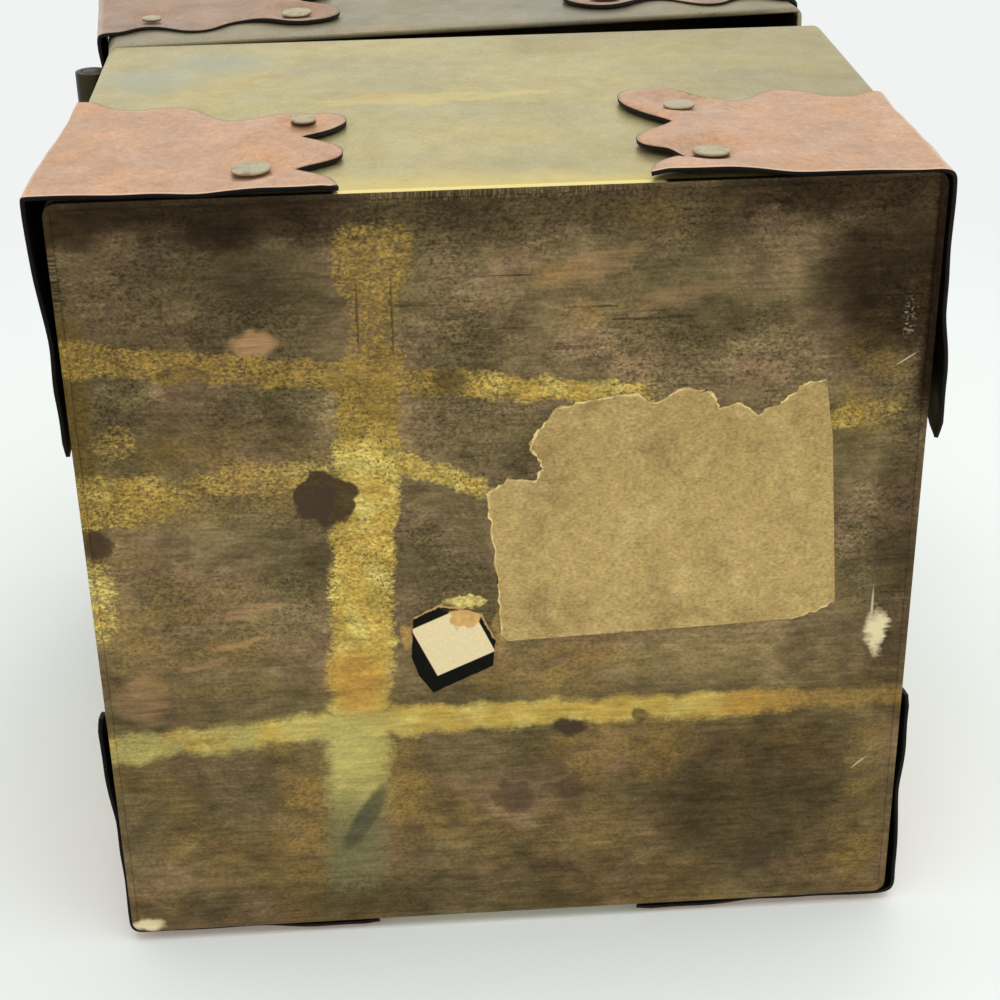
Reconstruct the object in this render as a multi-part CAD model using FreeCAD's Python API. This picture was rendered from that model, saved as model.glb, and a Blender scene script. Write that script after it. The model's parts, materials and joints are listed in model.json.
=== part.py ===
import FreeCAD, Part
import os

# A sheet-brass box with a hinged lid. Scalloped copper mounts are riveted over the
# upright corners of the body and, turned over, over those of the lid.
# The box stands on its base with +Z up. The hinge runs along the back wall, at +Y, and
# the origin is the middle of the base. Lengths are in millimetres, angles in degrees.

# Brass walls, base and top
BOX_WIDTH = 100.0
BOX_DEPTH = 100.0
BODY_HEIGHT = 66.7
LID_HEIGHT = 38.0
WALL_SHEET = 0.9
BEND_RADIUS = 0.7  # inside of the bent corners
BASE_SHEET = 0.9
BASE_RECESS = 0.15  # base plate above the lower edge of the walls
TOP_SHEET = 0.9
SOLDER_GAP = 0.05  # plates to walls
RIM_GAP = 0.3  # closed lid above the rim of the body
LID_AJAR = 6.0  # how far the lid stands open

# Copper corner mounts
COPPER_SHEET = 0.5
WING_LENGTH = 33.4  # corner of the brass to the tips of the lobes
WING_HEIGHT = 33.8  # straight edge to the crests of the wavy edge
EDGE_MARGIN = 0.3  # straight edge to the edge of the brass

# Scallops of a wing, as shares of its length and its height
NOTCH_REACH_SHARE = 0.845
LOWER_LOBE_SHARES = (0.95, 0.12)
LOWER_NOTCH_SHARE = 0.2
MIDDLE_TIP_SHARE = 0.37
UPPER_NOTCH_SHARE = 0.58
UPPER_TIP_SHARE = 0.8
OUTER_DIP_SHARES = (0.59, 0.86)
CREST_SHARE = 0.38
INNER_DIP_SHARES = (0.18, 0.91)
ROOT_BELLY_SHARES = (0.1, 0.985)

# Rivets
HEAD_RADIUS = 2.25
HEAD_FLATS = 12  # flats left round a head by the hammer
HEAD_HEIGHT = 0.45
SHANK_SIDE = 1.8  # square wire
SHANK_CLEARANCE = 0.05

# Places of a wing's rivets, as the same shares. Two wings of the body differ, drilled by eye.
USUAL_SHARES = ((0.715, 0.24), (0.812, 0.795))
FRONT_LEFT_SHARES = ((0.76, 0.24), (0.787, 0.8))
BACK_LEFT_SHARES = ((0.671, 0.222), (0.835, 0.772))

# Hinge: two strips curled into alternate knuckles round one pin
HINGE_LENGTH = 93.6
KNUCKLE_COUNT = 3
KNUCKLE_GAP = 0.3
KNUCKLE_WALL = 0.85
PIN_RADIUS = 1.3
PIN_CLEARANCE = 0.05
LEAF_SHEET = 0.8
LEAF_HEIGHT = 3.4
LEAF_CLEARANCE = 0.35  # barrel to the walls

# Paper on the underside of the base plate: the remains of a label and a small sticker
PAPER = 0.12
LABEL_CORNER = (8.0, 0.9)  # lower left corner as the base is read, with -X upwards
LABEL_LENGTH = 41.4
LABEL_HEIGHT = 33.6
STICKER_CENTRE = (8.5, 7.0)
STICKER_LENGTH = 10.9
STICKER_WIDTH = 10.4
STICKER_CLIP = 3.0  # worn corners
STICKER_TURN = -25.0

# Outline of the label, torn along its top, as shares of its length and height
LABEL_SHARES = (
    (0, 0),
    (0.87, 0.04),
    (1, 0.1),
    (0.96, 0.78),
    (0.93, 1),
    (0.74, 0.87),
    (0.6, 0.97),
    (0.45, 0.935),
    (0.25, 0.95),
    (0.13, 0.88),
    (0.09, 0.79),
    (0.12, 0.69),
    (-0.035, 0.6),
    (-0.015, 0.38),
)

V = FreeCAD.Vector
UP = V(0, 0, 1)
ORIGIN = V(0, 0, 0)

CORNER_RADIUS = BEND_RADIUS + WALL_SHEET
LID_RIM = BODY_HEIGHT + RIM_GAP
LID_CROWN = LID_RIM + LID_HEIGHT
BARREL_RADIUS = PIN_RADIUS + PIN_CLEARANCE + KNUCKLE_WALL
BACK_WALL = BOX_DEPTH / 2
HINGE_Y = BACK_WALL + LEAF_CLEARANCE + BARREL_RADIUS
HINGE_Z = BODY_HEIGHT + RIM_GAP / 2


def ajar(shape):
    """A piece of the closed lid, swung open about the hinge to where the lid stands."""
    swung = shape.copy()
    swung.rotate(V(0, HINGE_Y, HINGE_Z), V(-1, 0, 0), LID_AJAR)
    return swung


# Walls and plates


def prism(width, depth, height, radius, level):
    """Upright block on the Z axis with rounded upright edges, standing at a level."""
    block = Part.makeBox(width, depth, height, V(-width / 2, -depth / 2, level))
    upright = [e for e in block.Edges if abs(e.tangentAt(e.FirstParameter).z) > 0.5]
    return block.makeFillet(radius, upright)


def walls(height, level):
    """Four walls bent from one strip of sheet."""
    outside = prism(BOX_WIDTH, BOX_DEPTH, height, CORNER_RADIUS, level)
    width = BOX_WIDTH - 2 * WALL_SHEET
    depth = BOX_DEPTH - 2 * WALL_SHEET
    return outside.cut(prism(width, depth, height, BEND_RADIUS, level))


def plate(sheet, level):
    """Flat plate let in between the walls."""
    inset = 2 * (WALL_SHEET + SOLDER_GAP)
    return prism(BOX_WIDTH - inset, BOX_DEPTH - inset, sheet, BEND_RADIUS, level)


# Corner mounts
# One mount is made at a corner of the brass that lies on the Z axis and starts at z = 0,
# with its wings along +X and +Y, and is then taken to each corner.


def wing_point(reach, rise):
    """Point of the wing along +X, from shares of its length and height."""
    return V(reach * WING_LENGTH, 0, EDGE_MARGIN + rise * WING_HEIGHT)


def wing_outline():
    """Outline of a flat wing: three lobes at its end, and a wavy edge back to the bend."""
    root = V(CORNER_RADIUS, 0, EDGE_MARGIN)
    foot = wing_point(1, 0)
    lower_notch = wing_point(NOTCH_REACH_SHARE, LOWER_NOTCH_SHARE)
    upper_notch = wing_point(NOTCH_REACH_SHARE, UPPER_NOTCH_SHARE)
    outer_dip = wing_point(*OUTER_DIP_SHARES)
    inner_dip = wing_point(*INNER_DIP_SHARES)
    root_crest = root + V(0, 0, WING_HEIGHT)
    return Part.Wire(
        [
            Part.LineSegment(root, foot).toShape(),
            Part.Arc(foot, wing_point(*LOWER_LOBE_SHARES), lower_notch).toShape(),
            Part.Arc(lower_notch, wing_point(1, MIDDLE_TIP_SHARE), upper_notch).toShape(),
            Part.Arc(upper_notch, wing_point(1, UPPER_TIP_SHARE), outer_dip).toShape(),
            Part.Arc(outer_dip, wing_point(CREST_SHARE, 1), inner_dip).toShape(),
            Part.Arc(inner_dip, wing_point(*ROOT_BELLY_SHARES), root_crest).toShape(),
            Part.LineSegment(root_crest, root).toShape(),
        ]
    )


def other_wing(shape):
    """Takes a shape from the wing along +X to the wing along +Y."""
    return shape.mirror(ORIGIN, V(1, -1, 0))


def square_bar(side, low, high):
    """Upright square bar on the Z axis."""
    return Part.makeBox(side, side, high - low, V(-side / 2, -side / 2, low))


def rivet(grip):
    """Rivet with its seat at z = 0, its flat head above it and its shank through the grip."""
    turns = [i * 360 / HEAD_FLATS for i in range(HEAD_FLATS + 1)]
    rim = [FreeCAD.Rotation(UP, turn).multVec(V(HEAD_RADIUS, 0, 0)) for turn in turns]
    head = Part.Face(Part.makePolygon(rim)).extrude(V(0, 0, HEAD_HEIGHT))
    return head.fuse(square_bar(SHANK_SIDE, -grip, 0)).removeSplitter()


def on_wing(shape, place):
    """Takes a shape from z = 0 to a place on the outside of the wing along +X."""
    seated = shape.copy()
    seated.rotate(ORIGIN, V(1, 0, 0), 90)
    seated.translate(wing_point(*place) + V(0, -COPPER_SHEET, 0))
    return seated


def on_both_wings(shape, places):
    """Copies of a shape at the places on the wing along +X and on the wing along +Y."""
    first, second = places
    return [on_wing(shape, p) for p in first] + [other_wing(on_wing(shape, p)) for p in second]


def mount_rivets(places):
    """The rivets of one mount."""
    return on_both_wings(rivet(COPPER_SHEET + WALL_SHEET), places)


def mount_punch(places):
    """Bars that punch the rivet holes of one mount, through copper and brass."""
    reach = 2 * (COPPER_SHEET + WALL_SHEET)
    return on_both_wings(square_bar(SHANK_SIDE + 2 * SHANK_CLEARANCE, -reach, reach), places)


def corner_mount(places):
    """Copper sheet bent over a corner, with both wings and their rivet holes."""
    wing = Part.Face(wing_outline()).extrude(V(0, -COPPER_SHEET, 0))
    centre = V(CORNER_RADIUS, CORNER_RADIUS, EDGE_MARGIN)
    bend = Part.makeCylinder(CORNER_RADIUS + COPPER_SHEET, WING_HEIGHT, centre, UP, 90)
    bend = bend.cut(Part.makeCylinder(CORNER_RADIUS, WING_HEIGHT, centre))
    bend.rotate(centre, UP, 180)
    return bend.fuse([wing, other_wing(wing)]).removeSplitter().cut(mount_punch(places))


CORNERS = {
    "front_left": (V(-BOX_WIDTH / 2, -BOX_DEPTH / 2, 0), 0),
    "front_right": (V(BOX_WIDTH / 2, -BOX_DEPTH / 2, 0), 90),
    "back_right": (V(BOX_WIDTH / 2, BOX_DEPTH / 2, 0), 180),
    "back_left": (V(-BOX_WIDTH / 2, BOX_DEPTH / 2, 0), 270),
}


def at_corner(shape, corner):
    """Takes a shape from the Z axis to a corner of the body."""
    place, turn = CORNERS[corner]
    placed = shape.copy()
    placed.rotate(ORIGIN, UP, turn)
    placed.translate(place)
    return placed


def at_lid_corner(shape, corner):
    """Turns a shape over and takes it from the Z axis to a corner of the closed lid."""
    turned = shape.copy()
    turned.rotate(ORIGIN, V(1, 1, 0), 180)
    turned.translate(V(0, 0, LID_CROWN))
    return at_corner(turned, corner)


# Hinge


def knuckle_spans(first):
    """Start and length along X of every other knuckle."""
    pitch = (HINGE_LENGTH + KNUCKLE_GAP) / KNUCKLE_COUNT
    starts = [-HINGE_LENGTH / 2 + i * pitch for i in range(KNUCKLE_COUNT)]
    return [(start, pitch - KNUCKLE_GAP) for start in starts[first::2]]


def along_hinge(radius, start, length):
    """Cylinder on the axis of the hinge."""
    return Part.makeCylinder(radius, length, V(start, HINGE_Y, HINGE_Z), V(1, 0, 0))


def leaf(own, others, low, high):
    """Strip on the back walls from low to high, with its own knuckles curled round the pin."""
    height = high - low
    strip = Part.makeBox(HINGE_LENGTH, LEAF_SHEET, height, V(-HINGE_LENGTH / 2, BACK_WALL, low))
    notches = [
        Part.makeBox(
            length + 2 * KNUCKLE_GAP,
            LEAF_SHEET,
            2 * BARREL_RADIUS,
            V(start - KNUCKLE_GAP, BACK_WALL, HINGE_Z - BARREL_RADIUS),
        )
        for start, length in others
    ]
    knuckles = [along_hinge(BARREL_RADIUS, start, length) for start, length in own]
    bore = along_hinge(PIN_RADIUS + PIN_CLEARANCE, -HINGE_LENGTH, 2 * HINGE_LENGTH)
    return strip.cut(notches).fuse(knuckles).removeSplitter().cut(bore)


# Paper on the base


def paper_sheet(outline):
    """Thin sheet on the underside of the base plate, from its outline."""
    points = [V(x, y, BASE_RECESS) for x, y in outline]
    return Part.Face(Part.makePolygon(points + points[:1])).extrude(V(0, 0, -PAPER))


def label():
    """The remains of the label. It is read with -Y to the right and -X upwards."""
    x, y = LABEL_CORNER
    return paper_sheet([(x - v * LABEL_HEIGHT, y - u * LABEL_LENGTH) for u, v in LABEL_SHARES])


def sticker():
    """Small sticker with worn corners, set at a slant."""
    x, y = STICKER_LENGTH / 2, STICKER_WIDTH / 2
    half = [(x - STICKER_CLIP, y), (x, y - STICKER_CLIP), (x, STICKER_CLIP - y), (x - STICKER_CLIP, -y)]
    sheet = paper_sheet(half + [(-a, -b) for a, b in half])
    sheet.rotate(ORIGIN, UP, STICKER_TURN)
    sheet.translate(V(*STICKER_CENTRE, 0))
    return sheet


# The assembled box

USUAL_PLACES = (USUAL_SHARES, USUAL_SHARES)
BODY_PLACES = {
    "front_left": (USUAL_SHARES, FRONT_LEFT_SHARES),
    "front_right": USUAL_PLACES,
    "back_right": USUAL_PLACES,
    "back_left": (BACK_LEFT_SHARES, USUAL_SHARES),
}
BODY_KNUCKLES = knuckle_spans(0)
LID_KNUCKLES = knuckle_spans(1)

body_punch = [at_corner(bar, c) for c, places in BODY_PLACES.items() for bar in mount_punch(places)]
lid_punch = [at_lid_corner(bar, c) for c in CORNERS for bar in mount_punch(USUAL_PLACES)]

parts = {
    "body_walls": walls(BODY_HEIGHT, 0).cut(body_punch),
    "base_plate": plate(BASE_SHEET, BASE_RECESS),
    "lid_walls": ajar(walls(LID_HEIGHT, LID_RIM).cut(lid_punch)),
    "lid_top": ajar(plate(TOP_SHEET, LID_CROWN - TOP_SHEET)),
    "hinge_leaf_body": leaf(BODY_KNUCKLES, LID_KNUCKLES, BODY_HEIGHT - LEAF_HEIGHT, HINGE_Z),
    "hinge_leaf_lid": ajar(leaf(LID_KNUCKLES, BODY_KNUCKLES, HINGE_Z, LID_RIM + LEAF_HEIGHT)),
    "hinge_pin": along_hinge(PIN_RADIUS, -HINGE_LENGTH / 2, HINGE_LENGTH),
    "paper_label": label(),
    "small_sticker": sticker(),
}
for corner, places in BODY_PLACES.items():
    parts["body_mount_" + corner] = at_corner(corner_mount(places), corner)
    parts["lid_mount_" + corner] = ajar(at_lid_corner(corner_mount(USUAL_PLACES), corner))
    body_rivets = [at_corner(r, corner) for r in mount_rivets(places)]
    lid_rivets = [ajar(at_lid_corner(r, corner)) for r in mount_rivets(USUAL_PLACES)]
    parts["body_rivets_" + corner] = Part.makeCompound(body_rivets)
    parts["lid_rivets_" + corner] = Part.makeCompound(lid_rivets)

os.makedirs("parts", exist_ok=True)
for name, shape in parts.items():
    shape.exportStep("parts/" + name + ".step")
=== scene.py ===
import json
import math
import random

import bpy
from mathutils import Matrix, Vector, noise


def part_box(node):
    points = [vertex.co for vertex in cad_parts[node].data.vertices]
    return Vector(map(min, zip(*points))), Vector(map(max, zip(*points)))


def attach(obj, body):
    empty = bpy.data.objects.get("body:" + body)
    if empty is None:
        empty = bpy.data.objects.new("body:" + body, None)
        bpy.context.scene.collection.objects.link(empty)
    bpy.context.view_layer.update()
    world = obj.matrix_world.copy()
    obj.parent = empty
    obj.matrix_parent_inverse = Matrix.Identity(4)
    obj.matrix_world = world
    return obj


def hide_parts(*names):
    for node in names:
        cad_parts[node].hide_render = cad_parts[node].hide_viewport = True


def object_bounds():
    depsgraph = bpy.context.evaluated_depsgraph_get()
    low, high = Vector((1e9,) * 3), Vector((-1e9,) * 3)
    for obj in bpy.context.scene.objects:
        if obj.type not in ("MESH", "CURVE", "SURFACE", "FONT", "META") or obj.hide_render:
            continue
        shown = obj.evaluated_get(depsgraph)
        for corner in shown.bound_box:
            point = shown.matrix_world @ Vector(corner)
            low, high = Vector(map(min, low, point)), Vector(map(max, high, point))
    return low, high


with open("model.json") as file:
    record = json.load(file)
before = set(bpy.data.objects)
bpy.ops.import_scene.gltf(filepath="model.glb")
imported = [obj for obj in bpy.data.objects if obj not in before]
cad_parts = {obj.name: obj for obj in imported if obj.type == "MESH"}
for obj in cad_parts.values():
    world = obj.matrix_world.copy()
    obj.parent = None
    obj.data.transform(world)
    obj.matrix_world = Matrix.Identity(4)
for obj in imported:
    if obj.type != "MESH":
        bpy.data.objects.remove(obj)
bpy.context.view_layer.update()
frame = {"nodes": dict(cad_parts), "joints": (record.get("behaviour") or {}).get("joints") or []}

MM = 0.001

# Body walls
# Four walls bent from one strip of brass sheet, soft and a little dented from use.
# Handling has left them pale. The lower edge is worn to bright yellow metal, with a painted highlight
# along it.

wall_sheet = 0.9 * MM
bend_radius = 1.6 * MM
worn_edge = 0.2 * MM
cell = 3.0 * MM
dent_depth = 0.35 * MM
dent_size = 26 * MM
dent_margin = 12 * MM
sharp_turn = math.radians(50)
soft_turn = math.radians(35)


def select_only(piece):
    """Makes a piece the only one that operators act on."""
    bpy.ops.object.select_all(action="DESELECT")
    piece.select_set(True)
    bpy.context.view_layer.objects.active = piece


def apply(piece, kind, **settings):
    """Adds a modifier to a piece and applies it."""
    select_only(piece)
    modifier = piece.modifiers.new(kind, kind)
    for name, value in settings.items():
        setattr(modifier, name, value)
    bpy.ops.object.modifier_apply(modifier=modifier.name)


def ease_edges(piece, width):
    """Rounds the sharp edges of a piece a little."""
    apply(piece, "BEVEL", width=width, segments=2, limit_method="ANGLE", angle_limit=sharp_turn)


def switch(mode):
    """Opens the active piece for editing, or closes it."""
    bpy.ops.object.mode_set(mode=mode)


def pick(piece, mode, parts, wanted):
    """Opens a piece for editing with only those faces or edges selected that a test wants."""
    select_only(piece)
    switch("EDIT")
    bpy.ops.mesh.select_mode(type=mode)
    bpy.ops.mesh.select_all(action="DESELECT")
    switch("OBJECT")
    for part in parts:
        part.select = wanted(part)
    switch("EDIT")


def cut_into_cells(piece, axis, levels):
    """Cuts the faces of a piece along planes across an axis."""
    select_only(piece)
    switch("EDIT")
    normal = [int(i == axis) for i in range(3)]
    for level in levels:
        bpy.ops.mesh.select_all(action="SELECT")
        bpy.ops.mesh.bisect(plane_co=[level * part for part in normal], plane_no=normal)
    switch("OBJECT")


def steps(low, high, pitch):
    """Evenly spaced levels strictly between two ends."""
    count = max(1, round((high - low) / pitch))
    return [low + (high - low) * i / count for i in range(1, count)]


def block(name, low, high):
    """A block between two corners, with its place in its mesh."""
    bpy.ops.object.select_all(action="DESELECT")
    bpy.ops.mesh.primitive_cube_add(size=1, location=(low + high) / 2, scale=high - low)
    bpy.ops.object.transform_apply(location=True, rotation=True, scale=True)
    piece = bpy.context.object
    piece.name = name
    return piece


def smooth(piece):
    """Smooth shading, broken at real edges."""
    select_only(piece)
    bpy.ops.object.shade_smooth_by_angle(angle=soft_turn)


def carry(piece, name, values):
    """Keeps a number for each point of a piece on its mesh."""
    piece.data.attributes.new(name, "FLOAT", "POINT").data.foreach_set("value", values)


def inset_of(point, low, high):
    """How far a point lies in from the nearest side of a box."""
    return min(min(point[i] - low[i], high[i] - point[i]) for i in range(2))


def sheet_walls(name, low, high, seed):
    """Four dented walls of bent sheet between two corners. The attribute depth is how far, in
    millimetres, each point lies in from the outside."""
    piece = block(name, low, high)
    pick(piece, "FACE", piece.data.polygons, lambda face: abs(face.normal.z) > 0.5)
    bpy.ops.mesh.delete(type="FACE")
    switch("OBJECT")
    points = piece.data.vertices
    upright = lambda edge: abs(points[edge.vertices[0]].co.z - points[edge.vertices[1]].co.z) > cell
    pick(piece, "EDGE", piece.data.edges, upright)
    bpy.ops.mesh.bevel(offset=bend_radius, segments=6, affect="EDGES")
    switch("OBJECT")
    for axis in range(3):
        inset = bend_radius if axis < 2 else 0
        cut_into_cells(piece, axis, steps(low[axis] + inset, high[axis] - inset, cell))
    middle = (low + high) / 2
    for point in piece.data.vertices:
        side = [min(point.co[i] - low[i], high[i] - point.co[i]) for i in range(3)]
        give = min(1, sorted(side)[1] / dent_margin)
        swell = noise.noise(point.co / dent_size + Vector((seed, 0, 0)))
        across = 0 if side[0] < side[1] else 1
        inward = math.copysign(1, middle[across] - point.co[across])
        point.co[across] += inward * dent_depth * give * max(0, 0.4 + swell)
    apply(piece, "SOLIDIFY", thickness=wall_sheet, offset=-1, use_even_offset=True)
    carry(piece, "depth", [inset_of(point.co, low, high) / MM for point in piece.data.vertices])
    ease_edges(piece, worn_edge)
    smooth(piece)
    return piece


class Wire:
    """A shader socket. Sums on wires add Math nodes, and node() adds any other node."""

    def __init__(self, tree, socket):
        self.tree = tree
        self.socket = socket

    def node(self, kind, settings, inputs, output=0):
        made = self.tree.nodes.new("ShaderNode" + kind)
        for name, value in settings.items():
            setattr(made, name, value)
        for name, value in inputs.items():
            if isinstance(value, Wire):
                self.tree.links.new(value.socket, made.inputs[name])
            else:
                made.inputs[name].default_value = value
        return Wire(self.tree, made.outputs[output])

    def math(self, operation, first, second=0.0):
        return self.node("Math", {"operation": operation}, {0: first, 1: second})

    def __abs__(self):
        return self.math("ABSOLUTE", self)


# What the signs between wires do, also with a plain number on the left.
signs = {"add": "ADD", "sub": "SUBTRACT", "mul": "MULTIPLY", "pow": "POWER", "or": "MAXIMUM"}
for sign, sum_kind in signs.items():
    setattr(Wire, f"__{sign}__", lambda one, two, kind=sum_kind: one.math(kind, one, two))
    setattr(Wire, f"__r{sign}__", lambda one, two, kind=sum_kind: one.math(kind, two, one))


def colour(red, green, blue):
    """A colour as seen on a screen, from 0 to 255, as the shaders take it."""
    parts = [value / 255 for value in (red, green, blue)]
    linear = [p / 12.92 if p <= 0.04045 else ((p + 0.055) / 1.055) ** 2.4 for p in parts]
    return (*linear, 1)


def finish(name):
    """A new material: gives it, its shader and the place on the piece in millimetres."""
    material = bpy.data.materials.new(name)
    material.use_nodes = True
    tree = material.node_tree
    place = Wire(tree, None).node("TexCoord", {}, {}, "Object")
    place = place.node("VectorMath", {"operation": "SCALE"}, {0: place, "Scale": 1000})
    return material, tree.nodes["Principled BSDF"], place


def feed(shader, tint, roughness, normal, metallic=0.0, gloss=0.5):
    """Links wires to the sockets of a shader, and sets plain numbers on them."""
    wires = {"Base Color": tint, "Roughness": roughness, "Normal": normal, "Metallic": metallic}
    for name, wire in wires.items():
        if isinstance(wire, Wire):
            wire.tree.links.new(wire.socket, shader.inputs[name])
        else:
            shader.inputs[name].default_value = wire
    shader.inputs["Specular IOR Level"].default_value = gloss


def axes(place):
    """The three coordinates of a place."""
    return [place.node("SeparateXYZ", {}, {0: place}, i) for i in range(3)]


def note(place, name):
    """A number that the mesh carries at each point."""
    return place.node("Attribute", {"attribute_name": name}, {}, "Fac")


def ramp(value, low, high):
    """0 where a value is at low or beyond, 1 at high, smooth between."""
    ends = {"Value": value, "From Min": low, "From Max": high}
    return value.node("MapRange", {"interpolation_type": "SMOOTHSTEP"}, ends)


def cloud(place, size, detail=3.0, stretch=(1, 1, 1), seed=0.0):
    """Random patches of about a size in millimetres, longer where stretch is below 1."""
    scaled = {0: place, 1: [s / size for s in stretch], 2: (seed, seed, seed)}
    spot = place.node("VectorMath", {"operation": "MULTIPLY_ADD"}, scaled)
    return place.node("TexNoise", {}, {"Vector": spot, "Scale": 1.0, "Detail": detail})


def mix(first, second, share):
    """One colour over another where a share is 1."""
    return share.node("Mix", {"data_type": "RGBA"}, {0: share, 6: first, 7: second}, 2)


def vary(tint, patches, strength):
    """A colour made lighter and darker by random patches."""
    grey = (patches - 0.5) * strength + 1
    parts = {0: 1.0, 6: tint, 7: grey}
    return grey.node("Mix", {"data_type": "RGBA", "blend_type": "MULTIPLY"}, parts, 2)


def relief(height, depth):
    """Bump from a height between 0 and 1, as deep as given in millimetres."""
    return height.node("Bump", {}, {"Height": height, "Distance": depth * MM, "Strength": 1.0})


def oval(across, along, centre, radii):
    """1 in the middle of an oval, 0 at its outline and negative outside."""
    far = ((across - centre[0]) * (1 / radii[0])) ** 2.0 + ((along - centre[1]) * (1 / radii[1])) ** 2.0
    return 1 - far


def spot(across, along, centre, radii, soft=0.3):
    """1 inside an oval and 0 outside, with a soft edge."""
    return ramp(oval(across, along, centre, radii), -soft, soft)


def between(value, low, high, soft):
    """1 between two levels of a value."""
    return ramp(value, low - soft, low + soft) * ramp(value, high + soft, high - soft)


def wall_brass(name, seed, tints, marks=None):
    """Pale worn brass, painted dark brown inside the box as painted shade. Marks adds what shows on one
    wall.
    """
    pale, grey, yellow, brown, inside = (colour(*tint) for tint in tints)
    material, shader, place = finish(name)
    grit = cloud(place, 0.5, 3, seed=seed + 2)
    tint = mix(pale, grey, ramp(cloud(place, 24, 4, seed=seed), 0.42, 0.7) * 0.8)
    tint = mix(tint, yellow, ramp(cloud(place, 13, 5, (1, 0.6, 1), seed + 4), 0.5, 0.74) * 0.6)
    tint = mix(tint, brown, ramp(cloud(place, 30, 6, seed=seed + 9), 0.56, 0.8) * 0.5)
    tint = vary(tint, cloud(place, 3, 4, seed=seed + 6), 0.4)
    tint = vary(tint, grit, 0.4)
    tint = mix(tint, brown, ramp(cloud(place, 0.8, 3, seed=seed + 7), 0.66, 0.76) * 0.7)
    if marks:
        tint = marks(tint, place, grit)
    # The inside of the box is painted dark brown: painted shade.
    hollow_shade = ramp(note(place, "depth"), 0.55, 0.85)
    inside = vary(vary(inside, cloud(place, 7, 6, seed=seed + 3), 1.6), grit, 0.6)
    tint = mix(tint, inside, hollow_shade)
    roughness = (cloud(place, 6, 5, seed=seed + 1) - 0.5) * 0.35 + 0.42 + hollow_shade * 0.2
    normal = relief(cloud(place, 4, 4, seed=seed) + grit * 0.12, 0.14)
    feed(shader, tint, roughness, normal, metallic=0.8)
    return material


def body_marks(tint, place, grit):
    """Stains on the left wall, its bright worn lower edge with a painted highlight along it, and painted
    shade with some grime at each wall's foot under the copper mounts.
    """
    gold = colour(226, 204, 124)
    glare = colour(246, 228, 152)
    slate = colour(170, 176, 160)
    rust = colour(204, 168, 92)
    umber = colour(84, 62, 34)
    grime_and_shade = colour(30, 23, 14)
    half_width = 50
    x, y, z = axes(place)
    left = ramp(x, -47.5, -48.5)
    wander = (cloud(place, 4, 3, seed=40) - 0.5) * 6
    here = y_here, z_here = y + wander, z + wander
    haze = spot(*here, (34.6, 57.2), (7, 5), 0.9) | spot(*here, (42.5, 49), (6, 5), 0.9)
    tint = mix(tint, slate, haze * left * 0.55)
    streak = spot(*here, (9, 36.6), (15, 2.6), 0.9) | spot(*here, (-2, 38), (9, 1.6), 0.9)
    broken = cloud(place, 1.6, 4, (1, 0.35, 1), 44)
    tint = mix(tint, gold, ramp(streak * 0.6 + broken, 0.8, 1.1) * left * 0.5)
    ring = oval(y, z, (26.9, 47.3), (2.7, 3.2))
    tint = mix(tint, rust, between(ring + wander * 0.06, -0.25, 0.35, 0.2) * left * 0.65)
    tint = mix(tint, rust, spot(*here, (13, 38.4), (4, 2), 0.9) * left * 0.5)
    tint = mix(tint, gold, ramp(z_here, 8.5, 0.5) * left * 0.8)
    dull = ramp(y_here, -8, -40) | ramp(z_here, 52, 64) * ramp(y, 10, -20)
    tint = mix(tint, umber, dull * left * 0.2)
    # A painted highlight along the bright worn lower edge of the left wall.
    tint = mix(tint, glare, ramp(z + (grit - 0.5) * 0.6, 1.15, 0.85) * left)
    along_wall = half_width - ((half_width - abs(x)) | (half_width - abs(y)))
    # Painted shade, with some grime, at the foot of each wall under the copper mounts.
    return mix(tint, grime_and_shade, ramp(along_wall, 17.8, 18.6) * ramp(z, 1.4, 0.7))


def dress(piece, material, body, slot, *nodes):
    """Gives a piece its material and body, and hides the nodes that it stands for."""
    piece.data.materials.clear()
    piece.data.materials.append(material)
    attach(piece, body)
    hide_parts(*nodes)


body_low, body_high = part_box("body_walls")
# The last of each set of tints is the inside, painted dark brown as painted shade.
body_tints = ((197, 182, 131), (181, 171, 131), (205, 186, 117), (162, 138, 90), (76, 62, 38))
body_brass = wall_brass("body_brass", 3.0, body_tints, body_marks)
body_walls = sheet_walls("dented_body_walls", body_low, body_high, 1.5)
dress(body_walls, body_brass, "body", "brass", "body_walls")

# Base plate
# A flat plate of brass let in between the walls and soldered, then filed flush. It has gone
# brown and olive. Strips of tape, now gone, kept some bands of it bright.

base_low, base_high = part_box("base_plate")
plate_fit = 0.05 * MM
plate_wave = 0.03 * MM


def sheet_plate(name, low, high, seed, inner):
    """A plate of sheet with a slightly wavy face. The attribute depth is 1 on its inner face,
    which is at the height inner."""
    fit = Vector((plate_fit, plate_fit, 0))
    piece = block(name, low - fit, high + fit)
    for axis in range(2):
        cut_into_cells(piece, axis, steps(low[axis], high[axis], cell))
    for point in piece.data.vertices:
        side = inset_of(point.co, low, high)
        flat = Vector((point.co.x, point.co.y, 0))
        swell = noise.noise(flat / dent_size + Vector((seed, 0, 0)))
        point.co.z += plate_wave * min(1, max(0, side) / dent_margin) * swell
    heights = [point.co.z for point in piece.data.vertices]
    carry(piece, "depth", [float(abs(height - inner) < wall_sheet / 2) for height in heights])
    smooth(piece)
    return piece


def blots(shown, across, along, low, high, ovals):
    """Adds ovals to what is shown. Each has a centre, radii and a strength, and fades in from
    low to high, as oval() counts them."""
    for centre, radii, strength in ovals:
        shown = shown | ramp(oval(across, along, centre, radii), low, high) * strength
    return shown


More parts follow.
